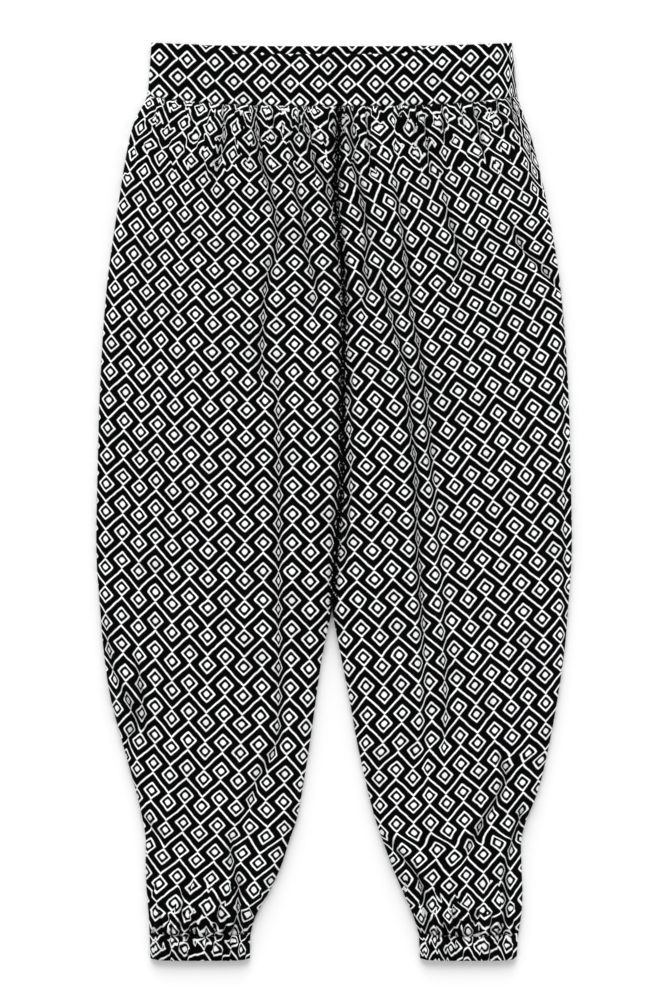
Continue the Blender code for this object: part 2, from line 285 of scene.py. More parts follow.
# Short pinches in rows away from the waist and cuff seams: the rows' distances in millimetres, how far
# apart the pinches are, how far one sways up or down, and the pinch itself, as a gather.
PINCH_SWAY = 12
PINCH_STEPS = (-1, -0.4, 0.4, 1)
PINCH_STRENGTHS = (0, 1, 1, 0)
PINCH_ROWS = {"waist": (15, 30, 46, 64), "cuff": (13, 28, 45)}
PINCH_EVERY = 12.5
PINCH = Gather(0, 13, 3, 1.9, 0.5, 4.0)

# Gathers let into the cuff seam: share of the way across, then as at the waist.
CUFF_GATHERS = {
    "right": rows_of(
        Gather,
        (.05, 16, -1, 2.2, 2.6, 4), (.13, 34, -4, 2.6, 3.2, 5), (.21, 18, 2, 2.2, 2.8, 4),
        (.29, 46, 5, 2.8, 3.6, 6), (.38, 20, 3, 2.2, 2.8, 4), (.46, 38, -4, 2.6, 3.2, 5),
        (.55, 16, 2, 2.2, 2.8, 4), (.63, 50, 9, 2.8, 3.6, 6), (.72, 22, 5, 2.2, 2.8, 4),
        (.80, 40, 11, 2.6, 3.4, 5), (.88, 22, 7, 2.2, 2.8, 4), (.95, 16, 5, 2.0, 2.4, 3),
    ),
    "left": rows_of(
        Gather,
        (.05, 18, -4, 2.0, 2.4, 3), (.12, 42, -11, 2.6, 3.4, 5), (.20, 18, -3, 2.2, 2.8, 4),
        (.28, 30, -7, 2.6, 3.2, 5), (.37, 54, -5, 2.8, 3.6, 6), (.45, 20, 2, 2.2, 2.8, 4),
        (.54, 38, 4, 2.6, 3.2, 5), (.62, 18, -2, 2.2, 2.8, 4), (.71, 34, 3, 2.6, 3.2, 5),
        (.79, 20, 1, 2.2, 2.8, 4), (.94, 22, 1, 2.0, 2.6, 3),
    ),
}


def mix(start, end, share):
    """The value a share of the way from start to end."""
    return start + (end - start) * share


def ease(share):
    """A smooth step from 0 to 1."""
    share = np.clip(share, 0.0, 1.0)
    return share * share * (3 - 2 * share)


def read(stations, values, at):
    """A smooth curve through the values at the stations, read at one or many places."""
    stations = np.asarray(stations, float)
    values = np.asarray(values, float)
    last = len(stations) - 1
    order = np.arange(last + 1)
    before, after = np.maximum(order - 1, 0), np.minimum(order + 1, last)
    slopes = (values[after] - values[before]) / (stations[after] - stations[before])
    at = np.clip(at, stations[0], stations[last])
    i = np.clip(np.searchsorted(stations, at, side="right") - 1, 0, last - 1)
    span = stations[i + 1] - stations[i]
    t = (at - stations[i]) / span
    bend_in = (2 * t ** 3 - 3 * t ** 2 + 1) * values[i] + (t ** 3 - 2 * t ** 2 + t) * span * slopes[i]
    bend_out = (3 * t ** 2 - 2 * t ** 3) * values[i + 1] + (t ** 3 - t ** 2) * span * slopes[i + 1]
    return bend_in + bend_out


def column(table, name, at):
    """One column of a table in millimetres, read at places in metres along the drops."""
    return read([row.drop * MM for row in table], [getattr(row, name) for row in table], at)


def outer_edge(leg, drop):
    return column(SIDES, leg, drop) * MM


def inner_edge(leg, drop):
    """A leg's inner edge: the centre seam down to the crotch, and its own inseam below."""
    above = column(CENTRE_SEAM, "seam", drop)
    below = column(INSEAMS, leg, drop)
    return np.where(drop <= CROTCH_DROP, above, below) * MM


def inseam_fold(drop):
    """How far the inner edge is folded over: not at all along the centre seam, and soon fully below it."""
    return 1 - (1 - np.clip((drop - CROTCH_DROP) / CROTCH_TURN, 0, 1)) ** 3


def waist_curve(x):
    """1 in the middle of the waist, falling to 0 at its sides."""
    return 1 - np.minimum(np.abs(x) / WAIST_HALF, 1) ** 3


def waist_seam_y(x):
    return LENGTH / 2 - SIDE_SEAM_TOP - WAIST_SAG * waist_curve(x)


def leg_y(x, drop, across):
    """Height on the table of a leg's row: it sags at the waist seam and lifts at the cuff's sides."""
    sag = WAIST_SAG * waist_curve(x) * (1 - ease((drop - SIDE_SEAM_TOP) / WAIST_FADE))
    lift = CUFF_LIFT * np.abs(2 * across - 1) ** 2 * ease((drop - CUFF_DROP + CUFF_FADE) / CUFF_FADE)
    return LENGTH / 2 - (drop + sag - lift)


def front_dip(x):
    """How far the front's top edge lies below the back's."""
    way_in = ease((x - FRONT_DIP_FROM) / FRONT_DIP_RAMP)
    return FRONT_DIP * way_in * ease((FRONT_DIP_TO - x) / FRONT_DIP_RAMP)


def wander(x, y, size, seed):
    """Soft uneven waves of about unit height and the given size in metres."""
    places = zip((x / size).ravel(), (y / size).ravel())
    values = [noise.noise(Vector((u, v, seed))) for u, v in places]
    return np.array(values).reshape(x.shape)


# Each kind of unevenness has waves of its own.
WAVES = {
    "billow": 3.0, "sink": 8.0, "ruck": 6.0, "band": 5.0, "pucker": 2.0, "elastic right": 11.0,
    "elastic left": 17.0, "elastic height": 4.0, "pull across": 21.0, "pull down": 22.0,
}


def soft_step(t):
    """0 below -1, 1 above 1, and a smooth rise between."""
    t = np.clip(t, -1, 1)
    return 0.5 + (15 * t - 10 * t ** 3 + 3 * t ** 5) / 16


# A crease as the leg uses it: hide is the share of its half width over which the print changes place,
# and tuck the cloth taken in. A gather's tuck and slip are how far the print is out of line across and
# down from one side of it to the other; both are made up again within its tuck times GATHER_REACH.
Line = namedtuple("Line", "half_width depth tuck slip hide xs ys strengths")
CREASE_HIDE = 0.8
GATHER_HIDE = 0.15
GATHER_SLIP = 0.8
GATHER_REACH = 5.5

# A gather's way from its seam: it starts so many millimetres beyond the seam, and at these shares of its
# length it has gone over by these shares, with these strengths.
GATHER_START = 3
GATHER_STEPS = (0, 0.25, 0.6, 1)
GATHER_OVER = (0, 0.2, 0.55, 1)
GATHER_STRENGTHS = (1, 1, 0.8, 0)

# A crease's raised shoulders: their height as a share of its depth, how far out they lie and how wide
# they are in half widths, the most they come to, and the fall that swallows them, in millimetres.
SHOULDER = 0.28
SHOULDER_AT = 1.5
SHOULDER_WIDTH = 0.8
SHOULDER_MOST = 2.0
SHOULDER_FALL = 6

# How tightly the bottom of a crease and of a gather bunches, over what share of the half width, and
# the tuck that bunches in full. The bunching breaks the print and sets a painted shade there.
BUNCH_AND_SHADE_MOST = 0.6
GATHER_BUNCH_AND_SHADE = 0.2
BUNCH_AND_SHADE_WIDTH = 0.6
BUNCH_AND_SHADE_TUCK = 6

# By the gathered seams the cloth is pulled about unevenly: how far, over what size of wave, how far from
# the seam, and the drops between which there is none. Millimetres, but for the size in metres.
RUCK_PULL = 3.4
RUCK_SIZE = 0.0062
RUCK_REACH = 12.0
RUCK_ABOVE = 120
RUCK_BELOW = 880


def edge_round(half_width, tuck, inset, ways):
    """Cloth that goes round a leg's edge instead of lying in view: a broad band along the edge."""
    ways = sorted(ways, key=lambda row: -row[0])
    ys = tuple(LENGTH / MM / 2 - drop for drop, _, _ in ways)
    xs = tuple(x + inset for _, x, _ in ways)
    return Line(half_width, 0, tuck, 0, 1, xs, ys, tuple(strength for _, _, strength in ways))


# Each leg's rounded edges, as (drop, x, strength) down the edge.
EDGE_ROUNDS = {
    "right": (
        edge_round(85, 9, 40, (
            (60, -200, 1), (165, -223, 1.2), (250, -235, 1.2), (350, -242, 1.0), (450, -245, .95),
            (530, -246, .95), (625, -239, .85), (725, -219, .8), (775, -205, .5), (825, -195, .3),
            (925, -191, 0))),
        edge_round(11, 3.5, 2, (
            (60, -200, .8), (165, -223, .8), (350, -242, .9), (530, -246, .9), (625, -239, 1),
            (725, -219, 1.4), (775, -205, 1), (825, -195, .6), (925, -191, .6))),
        edge_round(13, 3.5, -3, (
            (560, 0, 0), (610, -7, 1), (675, -18, 1), (775, -33, .8), (825, -46, .7), (925, -86, .6))),
    ),
    "left": (
        edge_round(11, 5, -7, (
            (56, 190, 6.5), (105, 206, 6.5), (135, 213, 4.5), (165, 220, 1.8), (190, 225, 1),
            (250, 234, .8), (350, 242, .8), (530, 246, .9),
            (625, 239, .9), (725, 223, .8), (775, 211, .7), (825, 194, .8), (925, 191, .7))),
        edge_round(13, 3.5, 3, (
            (560, 0, 0), (610, 2, 1), (675, 15, 1), (775, 35, .8), (825, 50, .7), (925, 87, .6))),
    ),
}


class Leg:
    """The creases and the lie of the print on one leg, as functions of the place on the table.

    The grid of the print's measures is in millimetres; CELL keeps a place within its last cell.
    """

    FIRST_X, LAST_X, STEP_X = -262, 263, 1.0
    FIRST_DROP, LAST_DROP, STEP_DROP = 40, 960, 1.5
    CELL = 1.001

    def __init__(self, leg):
        self.leg = leg
        self.lines = [self.crease(c) for c in CREASES[leg]]
        self.lines += [self.waist_gather(g) for g in GATHERS[leg]]
        self.lines += [self.cuff_gather(g) for g in CUFF_GATHERS[leg]]
        self.lines += self.small_gathers()
        for away in PINCH_ROWS["waist"]:
            self.lines += self.pinches(WAIST_DROP / MM + away)
        for away in PINCH_ROWS["cuff"]:
            self.lines += self.pinches(CUFF_DROP / MM - away)
        self.spread_print()

    def crease(self, crease):
        xs, ys, strengths = zip(*sorted(crease.way, key=lambda point: point[1]))
        return Line(crease.half_width, crease.depth, crease.tuck, 0, CREASE_HIDE, xs, ys, strengths)

    def span(self, drop):
        """The least and the greatest x of the leg at a drop, in metres."""
        return sorted((float(outer_edge(self.leg, drop)), float(inner_edge(self.leg, drop))))

    def small_gathers(self):
        """The smallest gathers of the waist seam, unevenly spaced and leaning either way."""
        low, high = self.span(WAIST_DROP)
        gathers = []
        for i in range(int((high - low) / MM / SMALL_EVERY)):
            stray = noise.noise(Vector((i * 1.7, low * 10, 0.5)))
            x = low / MM + (i + 0.5 + STRAY * stray) * SMALL_EVERY
            over = SMALL_GATHER.over * (1 if i % 2 else -1) * (1 + stray)
            longer = SMALL_BY_STRAY * abs(stray) + SMALL_BY_TURN * (i % SMALL_TURNS)
            length = SMALL_GATHER.length * (1 + longer)
            gathers.append(self.waist_gather(SMALL_GATHER._replace(x=x, over=over, length=length)))
        return gathers

    def pinches(self, drop):
        """A row of short pinches across the leg, unevenly placed and leaning either way."""
        low, high = self.span(drop * MM)
        pinches = []
        for i in range(int((high - low) / MM / PINCH_EVERY)):
            stray = noise.noise(Vector((i * 1.3, drop * 0.37, low * 10)))
            sway = noise.noise(Vector((i * 1.9, drop * 0.21, low * 10 + 5)))
            x = low / MM + (i + 0.5 + STRAY * stray) * PINCH_EVERY
            y = LENGTH / MM / 2 - drop + PINCH_SWAY * sway
            reach = PINCH.length * (0.5 + abs(stray))
            over = PINCH.over * (1 if sway > 0 else -1)
            xs = tuple(x + over * step for step in PINCH_STEPS)
            ys = tuple(y + reach * step for step in PINCH_STEPS)
            tuck = PINCH.tuck * (1 if stray > 0 else -1)
            slip = GATHER_SLIP * PINCH.tuck * (1 if i % 2 else -1)
            pinches.append(Line(
                PINCH.half_width, PINCH.depth, tuck, slip, GATHER_HIDE, xs, ys, PINCH_STRENGTHS))
        return pinches

    def waist_gather(self, gather):
        return self.gather_from(gather, gather.x, waist_seam_y(gather.x * MM) / MM, -1)

    def cuff_gather(self, gather):
        x = mix(*self.span(CUFF_DROP), gather.x) / MM
        return self.gather_from(gather, x, (LENGTH / 2 - CUFF_DROP) / MM, 1)

    def gather_from(self, gather, x, seam, way):
        """A gather's line from its seam: down the leg for a way of -1, and up it for 1."""
        points = []
        for step, share, strength in zip(GATHER_STEPS, GATHER_OVER, GATHER_STRENGTHS):
            reach = step * gather.length + (GATHER_START if step == 1 else 0)
            points.append((x + gather.over * share, seam - way * GATHER_START + way * reach, strength))
        xs, ys, strengths = zip(*points[::way])
        tuck, slip = gather.tuck * np.sign(gather.over), GATHER_SLIP * gather.tuck
        return Line(gather.half_width, gather.depth, tuck, slip, GATHER_HIDE, xs, ys, strengths)

    def across(self, line, x, y):
        """Distance from a crease's line in its half widths, and the crease's strength, for x, y in mm."""
        xs, ys = line.xs, line.ys
        centre = read(ys, xs, y)
        slope = (read(ys, xs, y + 1) - read(ys, xs, y - 1)) / 2
        strength = np.interp(y, ys, line.strengths)
        top = max(line.strengths)
        return (x - centre) / (line.half_width * np.sqrt(1 + slope ** 2)), top * ease(strength / top)

    def relief(self, x, y):
        """How much the creases lower the cloth at x, y, in metres, with their raised shoulders."""
        x, y = x / MM, y / MM
        fall = np.zeros_like(x)
        shoulder = np.zeros_like(x)
        for line in self.lines:
            t, strength = self.across(line, x, y)
            notch = np.where(np.abs(t) < 1, (1 - t ** 2) ** 2, 0)
            fall = np.maximum(fall, line.depth * strength * notch)
            beside = np.exp(-((np.abs(t) - SHOULDER_AT) / SHOULDER_WIDTH) ** 2)
            shoulder += SHOULDER * line.depth * strength * beside
        return (fall - np.minimum(shoulder, SHOULDER_MOST) * (1 - fall / SHOULDER_FALL)) * MM

    def bunching_and_shade(self, x, y):
        """How tightly the cloth bunches at x, y, in metres, from 0 to 1 at the bottom of a crease; this
        breaks the print and sets the painted shade there.
        """
        x, y = x / MM, y / MM
        bunched_and_shaded = np.zeros_like(x)
        for line in self.lines:
            t, strength = self.across(line, x, y)
            core = np.clip(1 - (t / BUNCH_AND_SHADE_WIDTH) ** 2, 0, 1)
            most = GATHER_BUNCH_AND_SHADE if line.slip else BUNCH_AND_SHADE_MOST
            most *= min(abs(line.tuck) / BUNCH_AND_SHADE_TUCK, 1)
            bunched_and_shaded = np.maximum(bunched_and_shaded, most * strength * core)
        return bunched_and_shaded

    def spread_print(self):
        """Lay the print's measures over a fine grid of the leg, counted from its anchor."""
        leg = self.leg
        xs = np.arange(self.FIRST_X, self.LAST_X, self.STEP_X)
        drops = np.arange(self.FIRST_DROP, self.LAST_DROP, self.STEP_DROP)
        self.xs, self.drops = xs, drops
        stations = [row.drop for row in TILTS[leg]]
        by_place = [
            read(stations, [row.angles[i] for row in TILTS[leg]], drops)
            for i in range(len(TILT_PLACES[leg]))
        ]
        angles = np.array([read(TILT_PLACES[leg], row, xs) for row in np.array(by_place).T])
        fall = np.cumsum(np.tan(np.radians(angles)), axis=1) * self.STEP_X
        guide = int(np.argmin(np.abs(xs - GUIDE_X[leg])))
        fall -= fall[:, guide:guide + 1]
        stations = [row.drop for row in FULLNESS[leg]]
        full_down = read(stations, [row.down for row in FULLNESS[leg]], drops)
        down = np.cumsum(full_down)[:, None] * self.STEP_DROP - fall

        full_across = read(stations, [row.across for row in FULLNESS[leg]], drops)
        leans = np.radians(read([row.drop for row in LEANS[leg]], [row.angle for row in LEANS[leg]], drops))
        wide = full_across[:, None] * (xs - xs[guide])[None, :]
        levels = LENGTH / MM / 2 - drops
        grid_x, grid_y = np.meshgrid(xs, levels)
        for line in self.lines:
            lowest = line.ys[0] if line.strengths[0] == 0 else levels[-1]
            highest = line.ys[-1] if line.strengths[-1] == 0 else levels[0]
            near = (levels >= lowest) & (levels <= highest)
            t, strength = self.across(line, grid_x[near], grid_y[near])
            taken = soft_step(t / line.hide)
            if line.slip:
                cut = taken - soft_step(t * line.half_width / (GATHER_REACH * abs(line.tuck)))
                wide[near] += line.tuck * strength * cut
                down[near] += line.slip * strength * cut
            else:
                wide[near] += line.tuck * strength * (taken - taken[:, guide:guide + 1])
        for edge in EDGE_ROUNDS[leg]:
            t, strength = self.across(edge, grid_x, grid_y)
            taken = soft_step(t)
            wide += edge.tuck * strength * (taken - taken[:, guide:guide + 1])
        wide -= np.cumsum(np.tan(leans) * full_across)[:, None] * self.STEP_DROP
        below_seam = waist_seam_y(grid_x * MM) / MM - grid_y
        above_cuff = grid_y - (LENGTH / MM / 2 - CUFF_DROP / MM)
        pull = np.exp(-(below_seam / RUCK_REACH) ** 2) + np.exp(-(above_cuff / RUCK_REACH) ** 2)
        pull *= RUCK_PULL
        rucked = (drops < RUCK_ABOVE) | (drops > RUCK_BELOW)
        place = grid_x[rucked] * MM, grid_y[rucked] * MM
        wide[rucked] += pull[rucked] * wander(*place, RUCK_SIZE, WAVES["pull across"])
        down[rucked] += pull[rucked] * wander(*place, RUCK_SIZE, WAVES["pull down"])
        self.wide, self.down = wide, down
        anchor = ANCHORS[leg]
        at_x, at_y = np.array([anchor.x * MM]), np.array([LENGTH / 2 - anchor.drop * MM])
        start = self.measure(at_x, at_y)
        self.wide = wide - start[0][0] / MM
        self.down = down - start[1][0] / MM

    def measure(self, x, y):
        """The cloth's own measures, across and down, at places on the table; all in metres."""
        drop = (LENGTH / 2 - y) / MM
        column_at = np.clip((x / MM - self.xs[0]) / self.STEP_X, 0, len(self.xs) - self.CELL)
        row_at = np.clip((drop - self.drops[0]) / self.STEP_DROP, 0, len(self.drops) - self.CELL)
        i, j = column_at.astype(int), row_at.astype(int)
        u, v = column_at - i, row_at - j
        result = []
        for field in (self.wide, self.down):
            upper = mix(field[j, i], field[j, i + 1], u)
            lower = mix(field[j + 1, i], field[j + 1, i + 1], u)
            result.append(mix(upper, lower, v) * MM)
        return result


LAYS = {}


def leg_lay(leg):
    """The creases and the print of one leg, worked out once."""
    if leg not in LAYS:
        LAYS[leg] = Leg(leg)
    return LAYS[leg]


def roll(distance, reach):
    """The quarter round of a folded edge: 0 at the edge, 1 once the cloth lies down."""
    share = np.clip(distance / reach, 0, 1)
    return np.sqrt(1 - (1 - share) ** 2)


def spaced_rows(*stretches):
    """Drops from (start, end, step) stretches in millimetres, evenly spaced within each."""
    rows = [
        np.linspace(start, end, max(int(round((end - start) / step)), 1), endpoint=False)
        for start, end, step in stretches
    ]
    return np.append(np.concatenate(rows), stretches[-1][1]) * MM


def spaced_across(count, edge_steps):
    """Shares across a row, in parts of its width: close together at the edges and even between."""
    inner = np.linspace(edge_steps[-1], 1 - edge_steps[-1], count)
    return np.concatenate([edge_steps[:-1], inner, 1 - np.array(edge_steps[:-1])[::-1]])


# Shares across a row of a mesh next to its edges, where it rolls over.
EDGE_STEPS = (0, 0.0008, 0.003, 0.0065, 0.0115, 0.018, 0.026)


# The waistband's print: a crossing's place, the drop of its upper row, and the cloth let in.
BAND_CROSSING = -0.0457
BAND_ROW_DROP = 0.0243
BAND_FULLNESS = 0.995
BAND_EASING = 0.06
BAND_INSIDE_FULLNESS = 1.01
BAND_SQUEEZE = 0.003825
BAND_END_SQUEEZE = 0.0425
# How far the print's rows bend up at places along the band, in millimetres.
BAND_BEND_AT = (-190, -165, -145, -122, -93, -60, -20, 40, 80, 105, 132, 161, 190)
BAND_BEND = (9.5, 7.6, 5.8, 3.4, 2.0, 0.8, 0, 0, 0.8, 2.6, 7.0, 9.8, 12.0)


# The waistband's lie: its height over its rest, its waves, its rounded top edge, and the puckers along
# the seam, drawn out down the band.
BAND_LIFT = 0.0004
BAND_WAVE = 0.0005
BAND_WAVE_SIZE = 0.03
BAND_TOP_FALL = 0.0012
BAND_TOP_ROUND = 0.003
PUCKER_HEIGHT = 0.0008
PUCKER_REACH = 0.004
PUCKER_SIZE = 0.007
PUCKER_STRETCH = 0.2


def make_shell(name, points, uvs, bunched_and_shaded, wall, face_up, materials):
    """A thin shell over a grid of points: the outer face as given, the wall let in behind it.

    uvs gives the cloth's measures for each UV map by name, and the next argument how tightly the cloth
    bunches, kept on the points to break the print and set the painted shade of the creases.
    The first material is the outer face's and the second the inner face's.
    """
    rows, columns = points.shape[:2]
    corner = (np.arange(rows - 1)[:, None] * columns + np.arange(columns - 1)[None, :]).ravel()
    faces = np.stack([corner, corner + columns, corner + columns + 1, corner + 1], axis=1)
    if not face_up:
        faces = faces[:, ::-1]
    mesh = bpy.data.meshes.new(name)
    mesh.from_pydata(points.reshape(-1, 3).tolist(), [], faces.tolist())
    corners = np.empty(len(mesh.loops), dtype=np.int32)
    mesh.loops.foreach_get("vertex_index", corners)
    for layer_name, (across, down) in uvs.items():
        layer = mesh.uv_layers.new(name=layer_name)
        places = np.stack([across.ravel(), down.ravel()], axis=1)[corners]
        layer.data.foreach_set("uv", places.astype(np.float32).ravel())
    # The bunching, kept on each point, breaks the print and sets the painted shade in the material.
    bunching_and_shade = mesh.attributes.new(name="bunched_and_shaded", type="FLOAT", domain="POINT")
    bunching_and_shade.data.foreach_set("value", np.clip(bunched_and_shaded, 0, 1).astype(np.float32).ravel())
    mesh.shade_smooth()

    piece = bpy.data.objects.new(name, mesh)
    bpy.context.scene.collection.objects.link(piece)
    for material in materials:
        mesh.materials.append(material)
    bpy.ops.object.select_all(action="DESELECT")
    bpy.context.view_layer.objects.active = piece
    piece.select_set(True)
    solidify = piece.modifiers.new("wall", "SOLIDIFY")
    solidify.thickness = wall
    solidify.offset = -1
    solidify.use_quality_normals = True
    solidify.material_offset = len(materials) - 1
    solidify.material_offset_rim = 0
    bpy.ops.object.modifier_apply(modifier=solidify.name)
    piece.select_set(False)
    return piece


def settle(piece, node):
    """Tie a finished piece to its body and hide the solid it stands for."""
    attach(piece, BODY)
    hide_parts(node)


class Sums:
    """Writes arithmetic as math nodes."""

    def __init__(self, tree):
        self.tree = tree

    def __call__(self, operation, *terms):
        node = self.tree.nodes.new("ShaderNodeMath")
        node.operation = operation
        for socket, term in zip(node.inputs, terms):
            if isinstance(term, (int, float)):
                socket.default_value = term
            else:
                self.tree.links.new(term, socket)
        return node.outputs[0]

    def fold(self, value, period, shift=0.0):
        """Distance from value to the nearest multiple of the period, after a shift."""
        turned = self("DIVIDE", self("ADD", value, shift), period)
        off_middle = self("SUBTRACT", self("FRACT", self("ADD", turned, 0.5)), 0.5)
        return self("MULTIPLY", self("ABSOLUTE", off_middle), period)

    def blunt(self, distance, amount):
        """A distance from a line, blunted next to the line so that a corner is rounded."""
        return self("SQRT", self("MULTIPLY_ADD", distance, distance, amount * amount))

    def line(self, distance, half_width, softness):
        """1 within half_width of a line, falling softly to 0."""
        off = self("SUBTRACT", distance, half_width)
        span = self.tree.nodes.new("ShaderNodeMapRange")
        span.interpolation_type = "SMOOTHSTEP"
        self.tree.links.new(off, span.inputs["Value"])
        span.inputs["From Min"].default_value = -softness / 2
        span.inputs["From Max"].default_value = softness / 2
        span.inputs["To Min"].default_value = 1.0
        span.inputs["To Max"].default_value = 0.0
        return span.outputs["Result"]


def noise_value(tree, vector, scale, detail):
    node = tree.nodes.new("ShaderNodeTexNoise")
    tree.links.new(vector, node.inputs["Vector"])
    node.inputs["Scale"].default_value = scale
    node.inputs["Detail"].default_value = detail
    return node.outputs["Fac"]


# The knit: how strongly it shows, how much of it is fleck, and a course's height to a wale's.
KNIT_STRENGTH = 0.35
KNIT_FLECK = 0.0002
KNIT_COURSE = 0.5

# The cloth's other looks: the softness of the print's breaks, the fleck's part in the unevenness of the
# colours, the noise that shades them from darkest to lightest, and its dull shine.
BREAK_SOFTNESS = 0.12
FLECK_SHARE = 0.8
SHADE_NOISE = (0.2, 0.8)
SHINE = {"Specular IOR Level": 0.02, "Sheen Weight": 0.002, "Sheen Roughness": 0.5}


def printed_jersey(name, uv_map, wrong_side=False):
    """Jersey printed with rows of zigzag lines and dotted diamonds, in the cloth's own measures.

    A zigzag peak has a diamond standing on it and a zigzag valley has one hanging from it. On the wrong
    side the print only shows through the knit. Where the cloth bunches the print breaks up, and a painted
    shade darkens the colour.
    """
    pattern = bpy.context.scene.harem_print
    cloth = bpy.context.scene.harem_cloth
    material = bpy.data.materials.new(name)
    material.use_nodes = True
    tree = material.node_tree
    shader = tree.nodes["Principled BSDF"]
    sums = Sums(tree)

    uv = tree.nodes.new("ShaderNodeUVMap")
    uv.uv_map = uv_map
    axes = tree.nodes.new("ShaderNodeSeparateXYZ")
    tree.links.new(uv.outputs["UV"], axes.inputs["Vector"])
    waver = tree.nodes.new("ShaderNodeTexNoise")
    tree.links.new(uv.outputs["UV"], waver.inputs["Vector"])
    waver.inputs["Scale"].default_value = 1 / pattern.waver_size
    turns = tree.nodes.new("ShaderNodeSeparateColor")
    tree.links.new(waver.outputs["Color"], turns.inputs["Color"])
    across, down = (
        sums("MULTIPLY_ADD", sums("SUBTRACT", turns.outputs[turn], 0.5), pattern.waver, axes.outputs[axis])
        for turn, axis in (("Red", "X"), ("Green", "Y"))
    )

    # How tightly the cloth bunches, from the mesh: it breaks the print and sets the painted shade below.
    bunch = tree.nodes.new("ShaderNodeAttribute")
    bunch.attribute_name = "bunched_and_shaded"
    bunched_and_shaded = bunch.outputs["Fac"]

    half_width = pattern.repeat_width / 2
    from_peak = sums.fold(across, pattern.repeat_width)
    from_valley = sums("SUBTRACT", half_width, from_peak)
    slope = pattern.zigzag_depth / half_width
    off_zigzag = sums.fold(sums("MULTIPLY_ADD", from_peak, -slope, down), pattern.repeat_height)
    off_zigzag = sums("MULTIPLY", off_zigzag, math.cos(math.atan(slope)))
    diamond_half_height = pattern.diamond_height / 2
    diamond_half_width = pattern.diamond_width / 2
    above_peak = sums.fold(down, pattern.repeat_height, pattern.diamond_offset)
    below_valley = sums.fold(down, pattern.repeat_height, -pattern.zigzag_depth - pattern.diamond_offset)
    places = ((from_peak, above_peak), (from_valley, below_valley))
    diamonds = [
        sums(
            "ADD", sums("DIVIDE", sums.blunt(aside, pattern.corner), diamond_half_width),
            sums("DIVIDE", sums.blunt(level, pattern.corner), diamond_half_height))
        for aside, level in places
    ]
    reach = sums("MINIMUM", *diamonds)
    off_centre = sums("MINIMUM", *(
        sums("ADD", sums.blunt(aside, pattern.dot_corner), sums.blunt(level, pattern.dot_corner))
        for aside, level in places))
    to_side = diamond_half_width * diamond_half_height / math.hypot(diamond_half_width, diamond_half_height)
    off_diamond = sums("MULTIPLY", sums("ABSOLUTE", sums("SUBTRACT", reach, 1.0)), to_side)
    zigzag = sums.line(off_zigzag, pattern.zigzag_line / 2, pattern.softness)
    outline = sums.line(off_diamond, pattern.diamond_line / 2, pattern.softness)
    dot_reach = pattern.dot_corner + math.hypot(pattern.dot / 2, pattern.dot_corner)
    dot = sums.line(off_centre, dot_reach, pattern.softness * math.sqrt(2))
    printed = sums("MAXIMUM", zigzag, sums("MAXIMUM", outline, dot))
    # Where the cloth bunches the print breaks into dark cracks: partly print tucked into the fold, and
    # partly painted shade of the fold.
    broken = noise_value(tree, uv.outputs["UV"], 1 / cloth.break_size, 1.0)
    hidden = sums.line(broken, sums("MULTIPLY", bunched_and_shaded, cloth.breaking), BREAK_SOFTNESS)
    ground = sums("MULTIPLY", printed, sums("SUBTRACT", 1.0, hidden))

    fleck = noise_value(tree, uv.outputs["UV"], 1 / cloth.stitch_width, 1.0)
    cloud = noise_value(tree, uv.outputs["UV"], 1 / cloth.cloud_size, 3.0)
    shade = tree.nodes.new("ShaderNodeMapRange")
    uneven = sums("MULTIPLY_ADD", sums("SUBTRACT", fleck, 0.5), FLECK_SHARE, cloud)
    tree.links.new(uneven, shade.inputs["Value"])
    shade.inputs["From Min"].default_value, shade.inputs["From Max"].default_value = SHADE_NOISE
    shade.inputs["To Min"].default_value = 1 - cloth.unevenness
    shade.inputs["To Max"].default_value = 1 + cloth.unevenness
    colour = tree.nodes.new("ShaderNodeMix")
    colour.data_type = "RGBA"
    tree.links.new(ground, colour.inputs["Factor"])
    ink = pattern.ink if not wrong_side else pattern.ink_through
    bare = pattern.bare if not wrong_side else pattern.bare_behind
    for socket, value in (("A", ink), ("B", bare)):
        part = next(s for s in colour.inputs if s.name == socket and s.type == "RGBA")
        part.default_value = (*value, 1)
    tint = tree.nodes.new("ShaderNodeVectorMath")
    tint.operation = "SCALE"
    result = next(s for s in colour.outputs if s.type == "RGBA")
    tree.links.new(result, tint.inputs[0])
    # Painted shade: the colour is darkened by the crease shade times the square of the bunching, so the
    # bottoms of creases, the centre seam, the gathered seams and the cuffs' folds come out darker.
    painted_shade_factor = sums("MULTIPLY_ADD", sums("MULTIPLY", bunched_and_shaded, bunched_and_shaded), -cloth.painted_crease_shade, 1.0)
    tree.links.new(sums("MULTIPLY", shade.outputs["Result"], painted_shade_factor), tint.inputs["Scale"])
    tree.links.new(tint.outputs["Vector"], shader.inputs["Base Color"])

    roughness = tree.nodes.new("ShaderNodeMapRange")
    tree.links.new(ground, roughness.inputs["Value"])
    roughness.inputs["To Min"].default_value = cloth.ink_roughness
    roughness.inputs["To Max"].default_value = cloth.bare_roughness
    tree.links.new(roughness.outputs["Result"], shader.inputs["Roughness"])
    for name_of_input, value in SHINE.items():
        shader.inputs[name_of_input].default_value = value

    wale = sums.fold(axes.outputs["X"], cloth.stitch_width)
    course = sums.fold(axes.outputs["Y"], cloth.stitch_height)
    stitches = sums("ADD", wale, sums("MULTIPLY", course, KNIT_COURSE))
    knit = sums("SUBTRACT", stitches, sums("MULTIPLY", fleck, KNIT_FLECK))
    bump = tree.nodes.new("ShaderNodeBump")
    bump.inputs["Strength"].default_value = KNIT_STRENGTH
    bump.inputs["Distance"].default_value = 1.0
    tree.links.new(knit, bump.inputs["Height"])
    tree.links.new(bump.outputs["Normal"], shader.inputs["Normal"])
    return material


